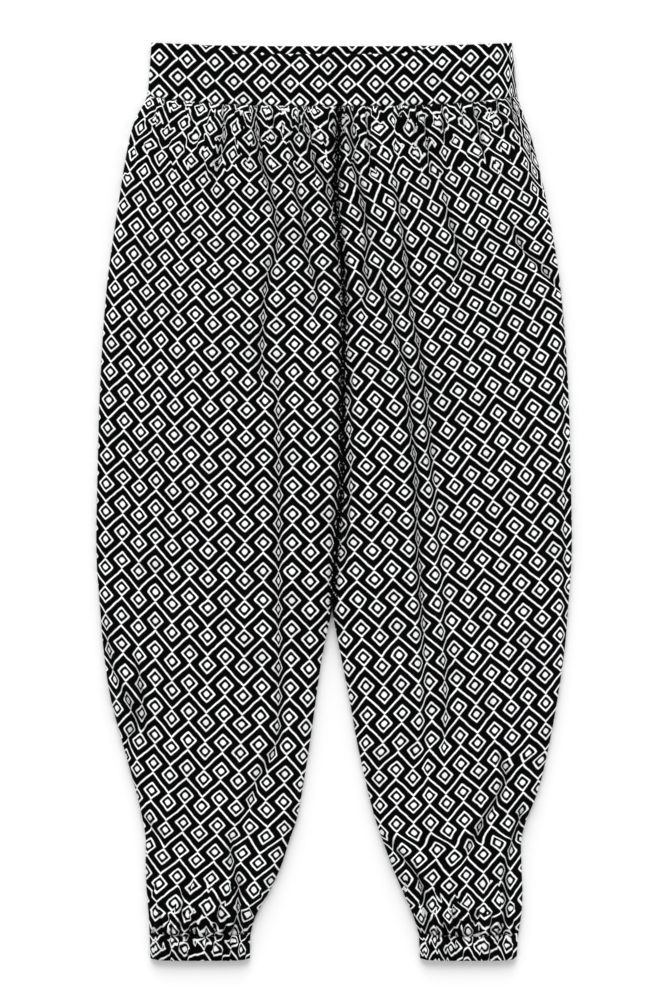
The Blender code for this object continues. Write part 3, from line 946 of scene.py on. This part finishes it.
def share_material(name, maker, *options, **named):
    """A material made once and used by every piece that asks for it."""
    return bpy.data.materials.get(name) or maker(name, *options, **named)


def jersey_pair():
    """The right and the wrong side of the printed jersey."""
    right_side = share_material("printed jersey, right side", printed_jersey, "cloth")
    wrong_side = share_material("printed jersey, wrong side", printed_jersey, "cloth", wrong_side=True)
    return [right_side, wrong_side]


def leg_grid(leg, drops, shares):
    """Places of a leg panel's grid: x, y, drop, and distances in from its side and inner edges."""
    side, inner = outer_edge(leg, drops), inner_edge(leg, drops)
    fold = inseam_fold(drops)
    gap = SEAM_GAP / 2 * (1 - fold)
    low, high = (side, inner - gap) if leg == "right" else (inner + gap, side)
    x = mix(low[:, None], high[:, None], shares[None, :])
    drop = np.broadcast_to(drops[:, None], x.shape)
    y = leg_y(x, drop, shares[None, :])
    from_low, from_high = x - low[:, None], high[:, None] - x
    from_side, from_inner = (from_low, from_high) if leg == "right" else (from_high, from_low)
    return x, y, drop, from_side, from_inner, np.broadcast_to(fold[:, None], x.shape)


# Rows of the panels' meshes, as (start, end, step) in drops in millimetres: closest by the gathers.
FRONT_ROWS = ((56.15, 84, 1.4), (84, 200, 2.9), (200, 800, 5.0), (800, 895, 3.4), (895, 924.85, 1.6))
BACK_ROWS = ((56.15, 200, 4.5), (200, 800, 6), (800, 924.85, 4.5))
BAND_ROWS = ((0, 55.85, 1.9),)
CUFF_ROWS = ((925.15, 950, 1.4),)

# The front sinks at most so far below its rest, a little unevenly.
SINK_MOST = 0.0008
SINK_UNEVENNESS = 0.0006
SINK_SIZE = 0.02

# The rucks beside a gathered seam, which break the print and set a painted shade there: their contrast
# and the size of one.
RUCK_CONTRAST = 1.3
RUCK_GRAIN = 0.005


def rucks_and_shade(x, y, from_seam):
    """How strongly the cloth is rucked beside a gathered seam, unevenly, from 0 to 1; this breaks the print
    and sets a painted shade there.
    """
    cloth = bpy.context.scene.harem_cloth
    near = np.exp(-(from_seam / cloth.ruck_reach) ** 2)
    return near * np.clip(0.5 + RUCK_CONTRAST * wander(x, y, RUCK_GRAIN, WAVES["ruck"]), 0, 1)


def front_leg(leg):
    """A front leg panel, with every crease and gather, from the waist seam to the cuff seam."""
    cloth = bpy.context.scene.harem_cloth
    drops = spaced_rows(*FRONT_ROWS)
    shares = spaced_across(cloth.front_columns, EDGE_STEPS)
    x, y, drop, from_side, from_inner, fold = leg_grid(leg, drops, shares)
    lay = leg_lay(leg)
    lie = FRONT_REST + column(PUFFS, "front", drop) * MM
    lie = lie + cloth.billow * wander(x, y, cloth.billow_size, WAVES["billow"])
    lie -= lay.relief(x, y) * cloth.crease_depth
    lie -= cloth.seam_dip * np.exp(-(from_inner / cloth.seam_reach) ** 2) * (1 - fold)
    lowest = FRONT_REST - SINK_MOST + SINK_UNEVENNESS * wander(x, y, SINK_SIZE, WAVES["sink"])
    lie = np.maximum(lie, lowest)
    seam_z = FOLD_HALF + SEAM_GAP / 2
    lie = seam_z + (lie - seam_z) * roll(from_side, cloth.front_edge_reach)
    folded = seam_z + (lie - seam_z) * roll(from_inner, cloth.front_edge_reach)
    lie = mix(lie, folded, fold)
    measures = lay.measure(x, y)
    # Bunching at the creases, at the centre seam and beside the gathered seams: it breaks the print and
    # sets the painted shade there.
    in_seam = np.exp(-(from_inner / cloth.seam_reach) ** 2) * (1 - fold)
    rucked = cloth.ruck_bunching_and_shade * rucks_and_shade(x, y, np.minimum(drop - SIDE_SEAM_TOP, CUFF_DROP - drop))
    bunched_and_shaded = np.maximum(lay.bunching_and_shade(x, y), np.maximum(cloth.seam_bunching_and_shade * in_seam, rucked))
    piece = make_shell(
        "front_leg_{}_cloth".format(leg), np.stack([x, y, lie], axis=2), {"cloth": measures}, bunched_and_shaded,
        cloth.wall, True, jersey_pair(),
    )
    node = "front_leg_{}".format(leg)
    settle(piece, node)
    return piece


# A crease as deep as this, in metres, is recessed in full on the back, and its bunching, which breaks
# the print and sets the painted shade, is taken at this share.
BACK_FULL_CREASE = 0.005
BACK_BUNCHING_AND_SHADE = 0.8


def back_leg(leg):
    """A back leg panel: flat underneath, with shallow creases of its own."""
    cloth = bpy.context.scene.harem_cloth
    drops = spaced_rows(*BACK_ROWS)
    shares = spaced_across(cloth.back_columns, EDGE_STEPS)
    x, y, drop, from_side, from_inner, fold = leg_grid(leg, drops, shares)
    lay = leg_lay("left" if leg == "right" else "right")
    mirrored = -x
    creases = np.clip(lay.relief(mirrored, y) / BACK_FULL_CREASE, 0, 1)
    lie = cloth.back_recess * creases
    seam_z = FOLD_HALF - SEAM_GAP / 2
    lie = seam_z - (seam_z - lie) * roll(from_side, cloth.edge_reach)
    folded = seam_z - (seam_z - lie) * roll(from_inner, cloth.edge_reach)
    lie = mix(lie, folded, fold)
    across, down = lay.measure(mirrored, y)
    # The back's creases carry their bunching too, which breaks the print and sets the painted shade.
    piece = make_shell(
        "back_leg_{}_cloth".format(leg), np.stack([x, y, lie], axis=2), {"cloth": (across, down)},
        BACK_BUNCHING_AND_SHADE * lay.bunching_and_shade(mirrored, y), cloth.wall, False, jersey_pair(),
    )
    settle(piece, "back_leg_{}".format(leg))
    return piece


def waistband(is_front):
    """Half of the waistband: jersey doubled over, its print turned a quarter round."""
    cloth = bpy.context.scene.harem_cloth
    drops = spaced_rows(*BAND_ROWS)
    last = SIDE_SEAM_TOP
    shares = spaced_across(cloth.band_columns, EDGE_STEPS)
    low, high = outer_edge("right", drops), outer_edge("left", drops)
    x = mix(low[:, None], high[:, None], shares[None, :])
    share = np.broadcast_to((drops / last)[:, None], x.shape)
    dip = front_dip(x) if is_front else 0.0
    top = TOP_SAG * waist_curve(x) + dip
    seam = SIDE_SEAM_TOP + WAIST_SAG * waist_curve(x)
    y = LENGTH / 2 - mix(top, seam, share)
    from_edge = np.minimum(x - low[:, None], high[:, None] - x)
    if is_front:
        lie = FRONT_REST + BAND_LIFT + BAND_WAVE * wander(x, y, BAND_WAVE_SIZE, WAVES["band"])
        lie -= BAND_TOP_FALL * (1 - roll(share * last, BAND_TOP_ROUND))
        by_seam = np.exp(-((1 - share) * last / PUCKER_REACH) ** 2)
        lie += PUCKER_HEIGHT * by_seam * wander(x, y * PUCKER_STRETCH, PUCKER_SIZE, WAVES["pucker"])
        seam_z = FOLD_HALF + SEAM_GAP / 2
        lie = seam_z + (lie - seam_z) * roll(from_edge, cloth.edge_reach)
    else:
        seam_z = FOLD_HALF - SEAM_GAP / 2
        lie = seam_z * (1 - roll(from_edge, cloth.edge_reach))
    across, down = band_print(x, LENGTH / 2 - y)
    inside = (x * BAND_INSIDE_FULLNESS, LENGTH / 2 - y)
    outer = share_material("printed jersey, right side", printed_jersey, "cloth")
    inner = share_material("printed jersey, inside of the waistband", printed_jersey, "inside")
    name = "waistband_front" if is_front else "waistband_back"
    piece = make_shell(
        name + "_cloth", np.stack([x, y, lie], axis=2),
        {"cloth": (across, down), "inside": inside}, np.zeros_like(x), cloth.band_wall, is_front,
        [outer, inner],
    )
    settle(piece, name)
    return piece


def band_print(x, drop):
    """The waistband's measures: the print's top points to +X, and its rows follow the band's sag."""
    to_left = np.maximum(x / WAIST_HALF, 0)
    squeeze = BAND_SQUEEZE * to_left ** 4 + BAND_END_SQUEEZE * to_left ** 30
    along = (x - BAND_CROSSING) * (BAND_FULLNESS - BAND_EASING * x) + squeeze
    across = drop - BAND_ROW_DROP + read(BAND_BEND_AT, BAND_BEND, x / MM) * MM
    return across, -along


# How much lower the casing's print lies than the leg's, in metres.
CUFF_PRINT_SHIFT = {"right": 0.011, "left": 0.008}


# The elastic's gathers: how far they wander in turns, how much and how strongly their height varies, and
# the sizes and the drawing out of both kinds of wave.
ELASTIC_WANDER = 0.7
ELASTIC_WANDER_SIZE = 0.02
ELASTIC_WANDER_STRETCH = 0.3
ELASTIC_MEAN = 0.75
ELASTIC_CHANGE = 0.5
ELASTIC_CHANGE_SIZE = 0.011
ELASTIC_CHANGE_STRETCH = 0.2
ELASTIC_FREE = 0.1

# A casing's lie: its height over its rest, its swell between seam and hem and where that starts, and how
# far it may sink.
CUFF_RAISE = 0.0008
CUFF_SWELL = 0.0024
CUFF_SWELL_FROM = 0.03
CUFF_SINK = 0.001


def elastic_gathers(leg, x, y):
    """The waves of the gathered casing, of about unit height."""
    turns = x / bpy.context.scene.harem_cloth.elastic_gather
    turns = turns + ELASTIC_WANDER * wander(
        x, y * ELASTIC_WANDER_STRETCH, ELASTIC_WANDER_SIZE, WAVES["elastic " + leg])
    change = wander(x, y * ELASTIC_CHANGE_STRETCH, ELASTIC_CHANGE_SIZE, WAVES["elastic height"])
    return np.sin(2 * math.pi * turns) * (ELASTIC_MEAN + ELASTIC_CHANGE * change)


def cuff(leg, is_front):
    """The front or back of a cuff casing, gathered on its elastic."""
    cloth = bpy.context.scene.harem_cloth
    drops = spaced_rows(*CUFF_ROWS)
    shares = spaced_across(cloth.cuff_columns, EDGE_STEPS)
    side, inner = outer_edge(leg, drops), inner_edge(leg, drops)
    low, high = np.minimum(side, inner), np.maximum(side, inner)
    x = mix(low[:, None], high[:, None], shares[None, :])
    edge = np.abs(2 * shares - 1)[None, :]
    share = ((drops - CUFF_DROP) / (LENGTH - CUFF_DROP))[:, None]
    seam = CUFF_DROP - CUFF_LIFT * edge ** 2
    hem = LENGTH - HEM_CORNER * edge ** 6
    y = LENGTH / 2 - mix(seam, hem, share)
    from_edge = np.minimum(x - low[:, None], high[:, None] - x)
    swell = np.sin(math.pi * np.clip(share, CUFF_SWELL_FROM, 1 - CUFF_SWELL_FROM)) ** 0.5
    gathers = elastic_gathers(leg, x, y)
    if is_front:
        lie = FRONT_REST + CUFF_RAISE + CUFF_SWELL * swell
        lie = lie + cloth.elastic_depth * gathers * (0.5 + 0.5 * swell)
        lie = np.maximum(lie, FRONT_REST - CUFF_SINK)
        seam_z = FOLD_HALF + SEAM_GAP / 2
        lie = seam_z + (lie - seam_z) * roll(from_edge, cloth.edge_reach)
        across, down = leg_lay(leg).measure(x, y)
        down = down - CUFF_PRINT_SHIFT[leg]
    else:
        seam_z = FOLD_HALF - SEAM_GAP / 2
        lie = seam_z * (1 - roll(from_edge, cloth.edge_reach)) + cloth.back_recess * np.clip(gathers, 0, 1)
        across, down = cloth.back_cuff_fullness * x, LENGTH / 2 - y
    # Rucks by the seam and the folds drawn in by the elastic: they break the print and set the painted
    # shade of the cuff.
    rucked = cloth.ruck_bunching_and_shade * rucks_and_shade(x, y, share * (LENGTH - CUFF_DROP))
    drawn_in_and_shade = cloth.elastic_bunching_and_shade * np.clip(-gathers - ELASTIC_FREE, 0, 1)
    bunched_and_shaded = np.maximum(drawn_in_and_shade, rucked)
    node = "cuff_{}_{}".format("front" if is_front else "back", leg)
    piece = make_shell(
        node + "_cloth", np.stack([x, y, lie], axis=2), {"cloth": (across, down)}, bunched_and_shaded,
        cloth.wall, is_front, jersey_pair(),
    )
    settle(piece, node)
    return piece


def length_property(name, description, default):
    """A length, in metres."""
    return FloatProperty(name=name, description=description, default=default, unit="LENGTH")


def plain_property(name, description, default):
    """A number without a unit."""
    return FloatProperty(name=name, description=description, default=default)


def count_property(name, description, default):
    return IntProperty(name=name, description=description, default=default)


def colour_property(name, description, default):
    return FloatVectorProperty(name=name, description=description, default=default, subtype="COLOR")


class HaremPrint(PropertyGroup):
    """Sizes and colours of the printed pattern."""

    repeat_width: length_property("Repeat width", "From peak to peak of the zigzag", 0.0376)
    repeat_height: length_property("Repeat height", "From one zigzag to the next", 0.0292)
    zigzag_depth: length_property("Zigzag depth", "How far a valley lies below a peak", 0.0185)
    diamond_width: length_property("Diamond width", "Across a diamond's outline", 0.0173)
    diamond_height: length_property("Diamond height", "Up a diamond's outline", 0.0173)
    diamond_offset: length_property("Diamond offset", "From the zigzag to a diamond's middle", 0.0102)
    zigzag_line: length_property("Zigzag line", "Width of the zigzag line", 0.0018)
    diamond_line: length_property("Diamond line", "Width of a diamond's outline", 0.0017)
    dot: length_property("Dot", "From corner to corner of a diamond's dot", 0.0062)
    dot_corner: length_property("Dot corner", "How far the dot's corners are blunted", 0.0010)
    corner: length_property("Corner", "How far a diamond's corners are blunted", 0.0007)
    softness: length_property("Softness", "Width of the print's soft edge", 0.0005)
    waver: length_property("Waver", "How far the printed lines wander", 0.0022)
    waver_size: length_property("Waver size", "Length over which the lines wander", 0.012)
    ink: colour_property("Ink", "Colour of the printed ground", (0.0016, 0.0016, 0.0019))
    bare: colour_property("Bare", "Colour of the bare jersey", (0.93, 0.93, 0.935))
    ink_through: colour_property("Ink through", "Ink seen from the wrong side", (0.11, 0.11, 0.115))
    bare_behind: colour_property("Bare behind", "Bare jersey on the wrong side", (0.62, 0.62, 0.62))


class HaremCloth(PropertyGroup):
    """Sizes of the cloth and its creases."""

    wall: length_property("Wall", "Thickness of one layer of jersey", 0.0010)
    band_wall: length_property("Waistband wall", "Thickness of the doubled waistband", 0.0018)
    crease_depth: plain_property("Crease depth", "Scale of the depth of all the creases", 1.5)
    billow: length_property("Billow", "Height of the broad waves of the front", 0.0016)
    billow_size: length_property("Billow size", "Length of the broad waves", 0.055)
    seam_dip: length_property("Seam dip", "How far the front sinks at the centre seam", 0.0055)
    seam_reach: length_property("Seam reach", "How far from the seam the front sinks", 0.0065)
    edge_reach: length_property("Edge reach", "How far in a folded edge is rounded", 0.0075)
    front_edge_reach: length_property("Front edge reach", "How far in the front's edge is rounded", 0.016)
    back_recess: length_property("Back recess", "Depth of the creases underneath", 0.0010)
    front_columns: count_property("Front columns", "Columns of a front panel's mesh", 190)
    back_columns: count_property("Back columns", "Columns of a back panel's mesh", 72)
    band_columns: count_property("Waistband columns", "Columns of the waistband's mesh", 230)
    cuff_columns: count_property("Cuff columns", "Columns of a cuff's mesh", 120)
    elastic_gather: length_property("Elastic gather", "Spacing of the cuff's gathers", 0.0068)
    elastic_depth: length_property("Elastic depth", "Half the height of the cuff's gathers", 0.0016)
    back_cuff_fullness: plain_property("Back cuff fullness", "Cloth in each length of a back cuff", 1.2)
    stitch_width: length_property("Stitch width", "Width of one knitted stitch", 0.0009)
    stitch_height: length_property("Stitch height", "Height of one knitted stitch", 0.0007)
    cloud_size: length_property("Cloud size", "Size of the faint uneven patches", 0.03)
    # The breaks leave dark cracks where the cloth bunches, partly print tucked into the folds and partly
    # painted shade.
    breaking: plain_property("Breaking", "How much of the print a tight bunch hides", 0.60)
    break_size: length_property("Break size", "Size of the breaks in the print", 0.003)
    # Painted shade: how much darker the colour is where the cloth bunches most.
    painted_crease_shade: plain_property("Crease shade", "How dark the bottom of a crease is", 0.55)
    # The centre seam's bunching breaks the print and sets the painted shade along the seam.
    seam_bunching_and_shade: plain_property("Seam bunching", "How tightly the centre seam bunches cloth", 1.0)
    # The rucks beside gathered seams break the print and set a painted shade: their reach and strength.
    ruck_reach: length_property("Ruck reach", "How far from a gathered seam cloth is rucked", 0.010)
    ruck_bunching_and_shade: plain_property("Ruck bunching", "How tightly gathered seams bunch the cloth", 0.5)
    # The elastic's folds in the cuffs break the print and set a painted shade.
    elastic_bunching_and_shade: plain_property("Elastic bunching", "How tightly the elastic bunches the cuffs", 0.5)
    unevenness: plain_property("Unevenness", "How much the colours vary", 0.22)
    ink_roughness: plain_property("Ink roughness", "Roughness of the inked ground", 0.82)
    bare_roughness: plain_property("Bare roughness", "Roughness of the bare jersey", 0.95)


class HaremStage(PropertyGroup):
    """The floor, the lights and the camera."""

    floor_colour: colour_property("Floor", "Colour of the floor", (0.97, 0.97, 0.97))
    floor_size: length_property("Floor size", "Width of the floor", 30.0)
    sky: plain_property("Sky", "Strength of the white surroundings", 0.66)
    sun: plain_property("Soft sun", "Strength of the soft light from beyond the waist", 2.85)
    camera_height: length_property("Camera height", "Height of the camera over the floor", 3.2)
    frame_height: length_property("Frame height", "Length of floor that the picture takes in", 1.0443)


FLOOR_LEVEL = -0.0004
SUN_FROM = (-0.1, 2.0, 1.0)
SUN_ANGLE = 50
CAMERA_OVER = (0.002, -0.0026)
SENSOR_HEIGHT = 24.0


class HAREM_OT_stage(Operator):
    """Lay the pale floor, and set the camera and the lights over it"""

    bl_idname = "harem.stage"
    bl_label = "Floor, Lights and Camera"

    def execute(self, context):
        stage = context.scene.harem_stage
        bpy.ops.object.select_all(action="DESELECT")
        bpy.ops.mesh.primitive_plane_add(size=stage.floor_size, location=(0, 0, FLOOR_LEVEL))
        floor = context.object
        floor.name = "floor"
        paper = bpy.data.materials.new("pale floor")
        paper.use_nodes = True
        shader = paper.node_tree.nodes["Principled BSDF"]
        shader.inputs["Base Color"].default_value = (*stage.floor_colour, 1)
        shader.inputs["Roughness"].default_value = 1.0
        shader.inputs["Specular IOR Level"].default_value = 0.0
        floor.data.materials.append(paper)

        world = bpy.data.worlds.new("soft surroundings")
        world.use_nodes = True
        world.node_tree.nodes["Background"].inputs["Color"].default_value = (1, 1, 1, 1)
        world.node_tree.nodes["Background"].inputs["Strength"].default_value = stage.sky
        context.scene.world = world

        lamp = bpy.data.lights.new("soft sun", "SUN")
        lamp.energy = stage.sun
        lamp.angle = math.radians(SUN_ANGLE)
        sun = bpy.data.objects.new("soft sun", lamp)
        sun.location = SUN_FROM
        sun.rotation_euler = (-sun.location).to_track_quat("-Z", "Y").to_euler()
        context.scene.collection.objects.link(sun)

        lens = bpy.data.cameras.new("camera over the floor")
        lens.sensor_fit = "VERTICAL"
        lens.sensor_height = SENSOR_HEIGHT
        lens.lens = lens.sensor_height * stage.camera_height / stage.frame_height
        camera = bpy.data.objects.new("camera over the floor", lens)
        camera.location = (*CAMERA_OVER, stage.camera_height)
        context.scene.collection.objects.link(camera)
        context.scene.camera = camera
        context.scene.view_settings.view_transform = "Standard"
        return {"FINISHED"}


class HAREM_OT_waistband(Operator):
    """Make the front and back halves of the doubled waistband"""

    bl_idname = "harem.waistband"
    bl_label = "Waistband"

    def execute(self, context):
        for is_front in (False, True):
            waistband(is_front)
        return {"FINISHED"}


class HAREM_OT_back_legs(Operator):
    """Make the two back leg panels that lie on the floor"""

    bl_idname = "harem.back_legs"
    bl_label = "Back Legs"

    def execute(self, context):
        for leg in LEGS:
            back_leg(leg)
        return {"FINISHED"}


class HAREM_OT_front_legs(Operator):
    """Make the two front leg panels with their creases and gathers"""

    bl_idname = "harem.front_legs"
    bl_label = "Front Legs"

    def execute(self, context):
        for leg in LEGS:
            front_leg(leg)
        return {"FINISHED"}


class HAREM_OT_cuffs(Operator):
    """Make the gathered cuff casings, front and back"""

    bl_idname = "harem.cuffs"
    bl_label = "Cuffs"

    def execute(self, context):
        for leg in LEGS:
            for is_front in (False, True):
                cuff(leg, is_front)
        return {"FINISHED"}


class HAREM_PT_panel(Panel):
    """Lists the pieces of the harem pants and their sizes"""

    bl_idname = "HAREM_PT_panel"
    bl_label = "Harem Pants"
    bl_space_type = "VIEW_3D"
    bl_region_type = "UI"
    bl_category = "Harem Pants"

    def draw(self, context):
        layout = self.layout
        for operator in OPERATORS:
            layout.operator(operator.bl_idname)
        for group in (context.scene.harem_print, context.scene.harem_cloth, context.scene.harem_stage):
            box = layout.box()
            for name in group.__annotations__:
                box.prop(group, name)


OPERATORS = (
    HAREM_OT_stage, HAREM_OT_back_legs, HAREM_OT_waistband, HAREM_OT_front_legs, HAREM_OT_cuffs,
)
GROUPS = {"harem_print": HaremPrint, "harem_cloth": HaremCloth, "harem_stage": HaremStage}


def register():
    for name, group in GROUPS.items():
        bpy.utils.register_class(group)
        setattr(bpy.types.Scene, name, PointerProperty(type=group))
    for member in (*OPERATORS, HAREM_PT_panel):
        bpy.utils.register_class(member)


def unregister():
    for member in reversed((*OPERATORS, HAREM_PT_panel)):
        bpy.utils.unregister_class(member)
    for name, group in GROUPS.items():
        delattr(bpy.types.Scene, name)
        bpy.utils.unregister_class(group)


def main():
    register()
    bpy.ops.harem.stage()
    bpy.ops.harem.back_legs()
    bpy.ops.harem.waistband()
    bpy.ops.harem.front_legs()
    bpy.ops.harem.cuffs()


if __name__ == "__main__":
    main()
